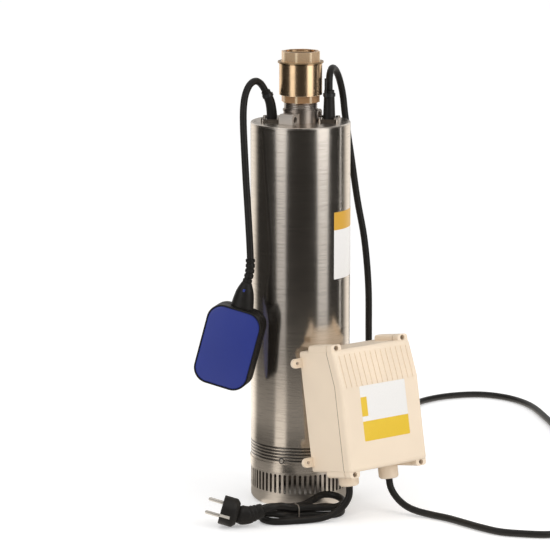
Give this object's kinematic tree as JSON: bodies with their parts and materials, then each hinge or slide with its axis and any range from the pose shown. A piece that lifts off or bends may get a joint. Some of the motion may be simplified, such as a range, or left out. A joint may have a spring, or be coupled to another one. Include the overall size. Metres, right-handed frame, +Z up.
{
  "type": "borehole submersible pump",
  "caption": "Slim stainless submersible well pump with slotted suction strainer, brass check valve, float switch on its cable and a leaning control box with a corded plug.",
  "frame": {"origin": "middle of the flat foot that the pump stands on", "axes": "+Z up along the pump's axis to the outlet, -Y to the side where the float hangs, +X to the side of the control box"},
  "size_m": [0.7029, 0.7787, 0.5848],
  "materials": {
    "stainless": "brushed stainless steel",
    "fasteners": "plain steel",
    "inner_steel": "machined steel",
    "inner_castings": "cast and turned",
    "brass": "cast octagons, turned barrel",
    "copper_wire": "varnished copper wire",
    "black_rubber": "matt black rubber",
    "black_plastic": "nylon",
    "grey_plastic": "glass filled",
    "white_plastic": "moulded",
    "cream_plastic": "moulded, fine satin",
    "blue_plastic": "moulded, soft gloss",
    "nickel": "nickel plated"
  },
  "bodies": {
    "pump": {"suction_strainer": "stainless", "suction_ring": "stainless", "outer_jacket": "stainless", "top_cover": "stainless", "outlet_neck": "stainless", "boot_clamps": "stainless", "strainer_screws": "fasteners", "clamp_screws": "fasteners", "lid_screws": "fasteners", "motor_can": "inner_steel", "lower_bearing": "inner_steel", "upper_bearing": "inner_steel", "valve_spring": "inner_steel", "stator_core": "inner_steel", "seal_housing": "inner_castings", "lower_bracket": "inner_castings", "motor_top_cap": "inner_castings", "valve_body": "brass", "valve_end": "brass", "stator_windings": "copper_wire", "float_cable_boot": "black_rubber", "power_cable_boot": "black_rubber", "casing_o_rings": "black_rubber", "box_gasket": "black_rubber", "float_cable": "black_rubber", "pump_cable_drop": "black_rubber", "pump_cable_return": "black_rubber", "pump_cable_coil": "black_rubber", "mains_cord": "black_rubber", "mains_hank": "black_rubber", "plug_body": "black_rubber", "boot_ties": "black_plastic", "cord_ties": "black_plastic", "stage_bowls": "grey_plastic", "diffusers": "grey_plastic", "inlet_plate": "grey_plastic", "terminal_block": "grey_plastic", "valve_guide": "white_plastic", "seal_seats": "white_plastic", "run_capacitor": "white_plastic", "box_base": "cream_plastic", "box_lid": "cream_plastic", "gland_bodies": "cream_plastic", "gland_nuts": "cream_plastic", "plug_contacts": "nickel"},
    "rotor": {"shaft": "inner_steel", "rotor_core": "inner_steel", "seal_rings": "inner_steel", "impellers": "white_plastic", "shaft_nut": "inner_steel"},
    "poppet": {"valve_poppet": "white_plastic", "valve_seal": "black_rubber"},
    "float": {"float_band": "black_rubber", "float_front_shell": "blue_plastic", "float_back_shell": "blue_plastic", "float_boot": "black_rubber", "switch_capsule": "grey_plastic"},
    "switch_ball": {"switch_ball": "inner_steel"}
  },
  "joints": [
    {"name": "rotor_spin", "type": "hinge", "parent": "pump", "child": "rotor", "pos_m": [0, 0, 0.3], "axis": [0, 0, 1], "continuous": true},
    {"name": "valve_lift", "type": "slide", "parent": "pump", "child": "poppet", "axis": [0, 0, 1], "range_m": [0, 0.008], "stiffness_N_per_m": 150, "springref_m": -0.006, "deforming": ["valve_spring"]},
    {"name": "float_swing", "type": "hinge", "parent": "pump", "child": "float", "pos_m": [-0.06352, -0.061, 0.31266], "axis": [0, 1, 0], "range_deg": [0, 85]},
    {"name": "ball_roll", "type": "slide", "parent": "float", "child": "switch_ball", "axis": [0.2538, 0, 0.9673], "range_m": [0, 0.014]}
  ]
}
